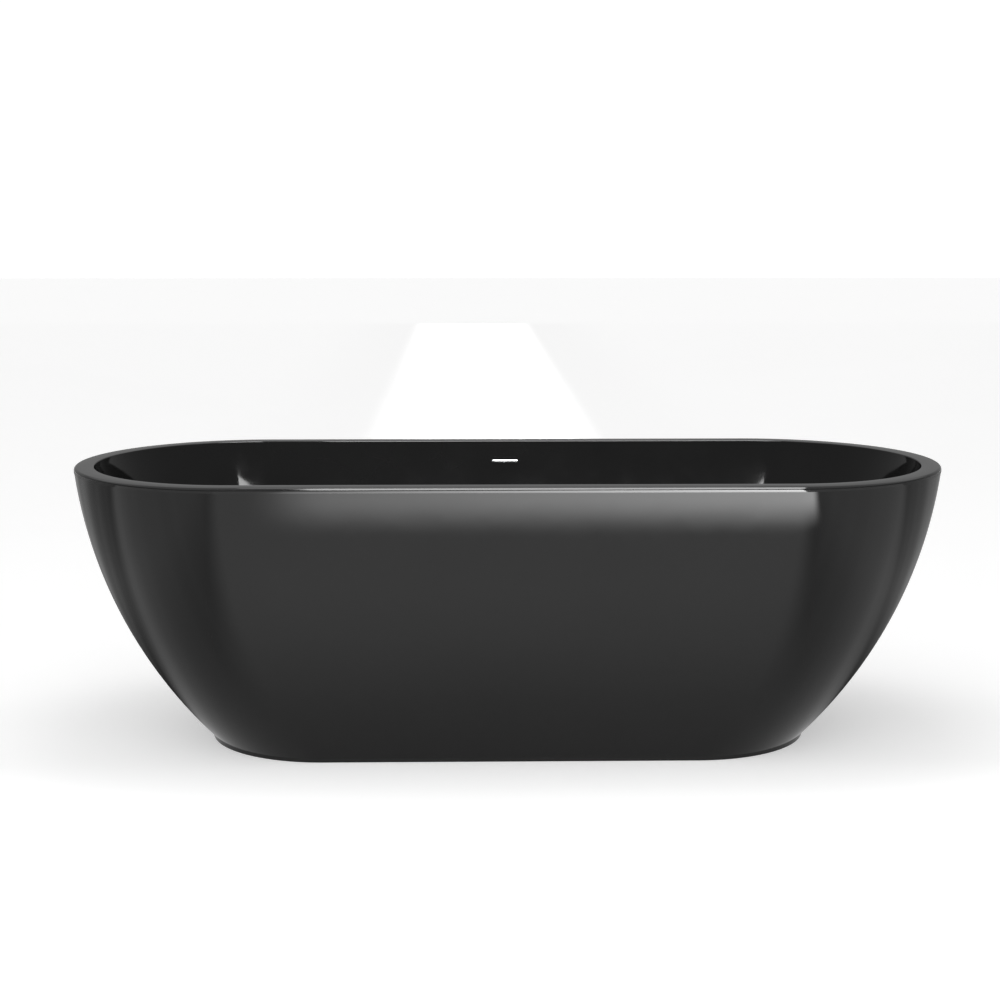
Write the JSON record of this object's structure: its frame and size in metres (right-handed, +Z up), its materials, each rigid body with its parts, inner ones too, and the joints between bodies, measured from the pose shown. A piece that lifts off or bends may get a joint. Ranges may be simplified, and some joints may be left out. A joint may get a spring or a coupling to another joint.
{
  "type": "freestanding bathtub",
  "caption": "Double-ended freestanding bathtub with a tapered gloss shell, flat rim, slot overflow, push plug and levelling feet.",
  "frame": {"origin": "on the floor under the middle of the tub, below the waste", "axes": "+X along the tub's length, +Y across it towards the overflow wall, +Z up"},
  "size_m": [1.7, 0.75, 0.546],
  "materials": {
    "shell_acrylic": "high gloss",
    "basin_acrylic": "high gloss",
    "plinth_acrylic": "satin gloss",
    "bond_bead": "cured adhesive",
    "board_ply": "sealed",
    "frame_steel": "galvanised",
    "zinc_screws": "zinc plated",
    "chrome": "polished",
    "seal_rubber": "matte",
    "foot_rubber": "matte",
    "waste_plastic": "satin",
    "hose_plastic": "satin",
    "brass": "turned",
    "spring_steel": "bright"
  },
  "bodies": {
    "tub": {"outer_shell": "shell_acrylic", "inner_basin": "basin_acrylic", "plinth_ring": "plinth_acrylic", "rim_bond_bead": "bond_bead", "floor_board": "board_ply", "cradle_bar_left": "frame_steel", "cradle_bar_right": "frame_steel", "board_screws": "zinc_screws", "foot_weld_nuts": "zinc_screws", "foot_lock_nuts": "zinc_screws", "bracket_bolts": "zinc_screws", "waste_flange": "chrome", "waste_upper_seal": "seal_rubber", "waste_lower_seal": "seal_rubber", "waste_body": "waste_plastic", "plug_cartridge": "brass", "plug_spring": "spring_steel", "overflow_cover": "chrome", "overflow_seal": "seal_rubber", "overflow_box": "waste_plastic", "overflow_hose": "hose_plastic", "hose_clamp_lower": "spring_steel", "hose_clamp_upper": "spring_steel", "trap_body": "waste_plastic", "trap_washer": "seal_rubber", "trap_nut": "waste_plastic", "outlet_nut": "waste_plastic", "outlet_washer": "seal_rubber", "outlet_pipe": "waste_plastic", "shell_bracket_front_left": "frame_steel", "shell_bracket_front_right": "frame_steel", "shell_bracket_rear_left": "frame_steel", "shell_bracket_rear_right": "frame_steel"},
    "plug": {"plug_cap": "chrome", "plug_seal": "seal_rubber", "plug_stem": "brass"},
    "foot_front_left": {"foot_pad_front_left": "foot_rubber"},
    "stud_front_left": {"foot_stud_front_left": "zinc_screws"},
    "foot_front_right": {"foot_pad_front_right": "foot_rubber"},
    "stud_front_right": {"foot_stud_front_right": "zinc_screws"},
    "foot_rear_left": {"foot_pad_rear_left": "foot_rubber"},
    "stud_rear_left": {"foot_stud_rear_left": "zinc_screws"},
    "foot_rear_right": {"foot_pad_rear_right": "foot_rubber"},
    "stud_rear_right": {"foot_stud_rear_right": "zinc_screws"}
  },
  "joints": [
    {"name": "plug_lift", "type": "slide", "parent": "tub", "child": "plug", "axis": [0, 0, 1], "range_m": [0, 0.009], "deforming": ["plug_spring"]},
    {"name": "foot_level_front_left", "type": "slide", "parent": "tub", "child": "foot_front_left", "axis": [0, 0, -1], "range_m": [0, 0.015]},
    {"name": "stud_turn_front_left", "type": "hinge", "parent": "foot_front_left", "child": "stud_front_left", "pos_m": [-0.43, -0.15, 0], "axis": [0, 0, -1], "range_deg": [0, 3086]},
    {"name": "foot_level_front_right", "type": "slide", "parent": "tub", "child": "foot_front_right", "axis": [0, 0, -1], "range_m": [0, 0.015]},
    {"name": "stud_turn_front_right", "type": "hinge", "parent": "foot_front_right", "child": "stud_front_right", "pos_m": [0.43, -0.15, 0], "axis": [0, 0, -1], "range_deg": [0, 3086]},
    {"name": "foot_level_rear_left", "type": "slide", "parent": "tub", "child": "foot_rear_left", "axis": [0, 0, -1], "range_m": [0, 0.015]},
    {"name": "stud_turn_rear_left", "type": "hinge", "parent": "foot_rear_left", "child": "stud_rear_left", "pos_m": [-0.43, 0.15, 0], "axis": [0, 0, -1], "range_deg": [0, 3086]},
    {"name": "foot_level_rear_right", "type": "slide", "parent": "tub", "child": "foot_rear_right", "axis": [0, 0, -1], "range_m": [0, 0.015]},
    {"name": "stud_turn_rear_right", "type": "hinge", "parent": "foot_rear_right", "child": "stud_rear_right", "pos_m": [0.43, 0.15, 0], "axis": [0, 0, -1], "range_deg": [0, 3086]}
  ],
  "couplings": [
    {"joint": "stud_turn_front_left", "follows": "foot_level_front_left", "rad_per_m": 3590.4},
    {"joint": "stud_turn_front_right", "follows": "foot_level_front_right", "rad_per_m": 3590.4},
    {"joint": "stud_turn_rear_left", "follows": "foot_level_rear_left", "rad_per_m": 3590.4},
    {"joint": "stud_turn_rear_right", "follows": "foot_level_rear_right", "rad_per_m": 3590.4}
  ]
}
